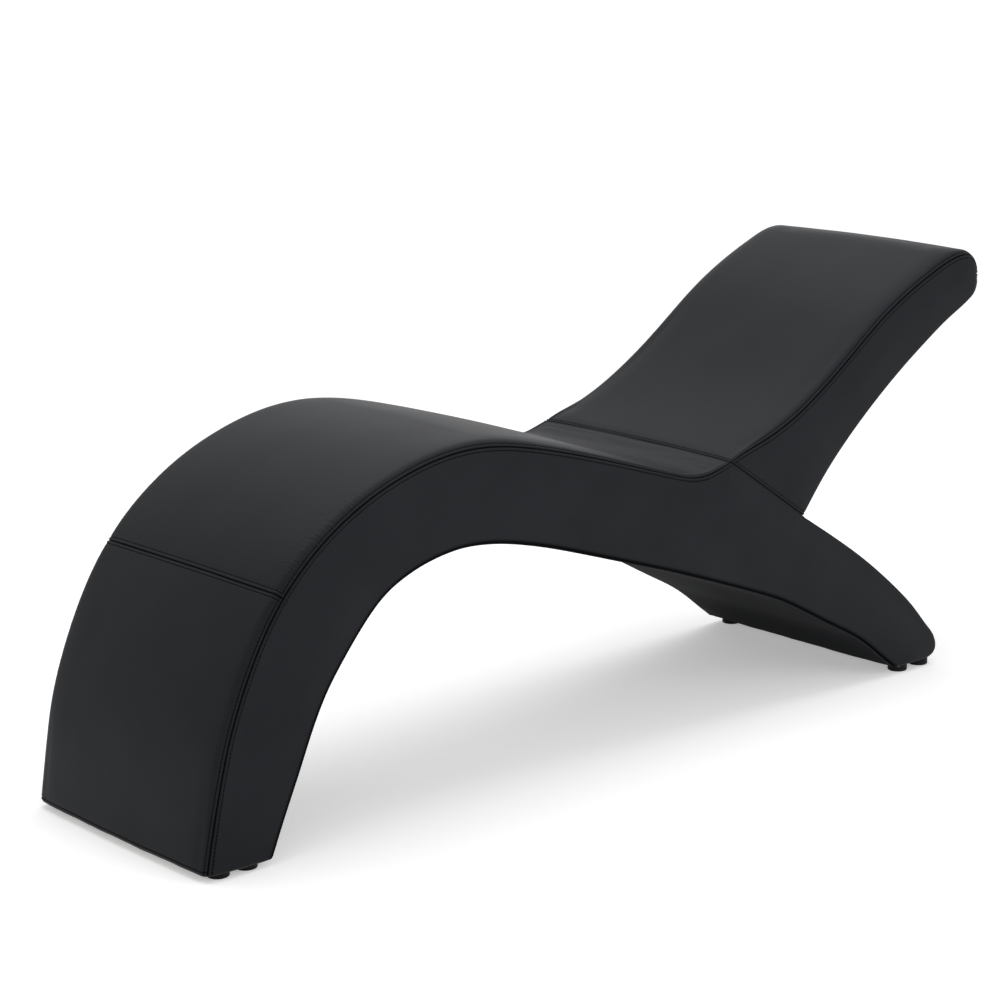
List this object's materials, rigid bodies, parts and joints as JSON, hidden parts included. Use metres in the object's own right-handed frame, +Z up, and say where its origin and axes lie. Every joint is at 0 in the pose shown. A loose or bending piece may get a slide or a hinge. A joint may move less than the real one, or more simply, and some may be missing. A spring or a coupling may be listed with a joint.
{
  "type": "spa relaxation lounger",
  "caption": "Fully upholstered wave-shaped relaxation lounger: arched base with raised knees, dipped seat, bolted reclined backrest and screw-on glides.",
  "frame": {"origin": "on the floor under the middle of the lounger's box", "axes": "+X towards the head end, +Y across towards the lying person's left hand, +Z up; mirror symmetric in Y"},
  "size_m": [1.9441, 0.54, 0.8551],
  "materials": {
    "upholstery": "satin, fine-grained, near-black",
    "dust_cloth": "thin non-woven cloth, matte black",
    "foam": "open-cell upholstery foam, matte",
    "plywood": "birch plywood, raw",
    "rail_wood": "planed softwood, raw",
    "zinc_steel": "zinc-plated",
    "glide_plastic": "moulded black plastic"
  },
  "bodies": {
    "root": {"shin_cover": "upholstery", "knee_seat_cover": "upholstery", "base_side_cover_left": "upholstery", "base_side_cover_right": "upholstery", "arch_cover": "upholstery", "rear_leg_cover": "upholstery", "back_front_cover": "upholstery", "back_rear_cover": "upholstery", "back_side_cover_left": "upholstery", "back_side_cover_right": "upholstery", "front_dust_cloth": "dust_cloth", "rear_dust_cloth": "dust_cloth", "leg_foam": "foam", "seat_foam": "foam", "base_side_foam_left": "foam", "base_side_foam_right": "foam", "arch_foam": "foam", "rear_leg_foam": "foam", "back_front_foam": "foam", "head_foam": "foam", "back_rear_foam": "foam", "back_side_foam_left": "foam", "back_side_foam_right": "foam", "leg_deck": "plywood", "seat_deck": "plywood", "arch_deck": "plywood", "rear_leg_deck": "plywood", "back_front_deck": "plywood", "back_rear_deck": "plywood", "base_rib_left": "plywood", "base_rib_middle": "plywood", "base_rib_right": "plywood", "back_rib_left": "plywood", "back_rib_middle": "plywood", "back_rib_right": "plywood", "front_foot_board": "plywood", "rear_foot_board": "plywood", "base_mount_board": "plywood", "back_mount_board": "plywood", "shin_rails": "rail_wood", "knee_rails": "rail_wood", "seat_rails": "rail_wood", "rear_leg_rails": "rail_wood", "back_rails": "rail_wood", "head_rails": "rail_wood", "rail_screws": "zinc_steel", "board_screws": "zinc_steel", "back_bolts": "zinc_steel", "bolt_washers": "zinc_steel", "driven_nuts": "zinc_steel", "glides": "glide_plastic", "glide_screws": "zinc_steel"}
  },
  "joints": []
}
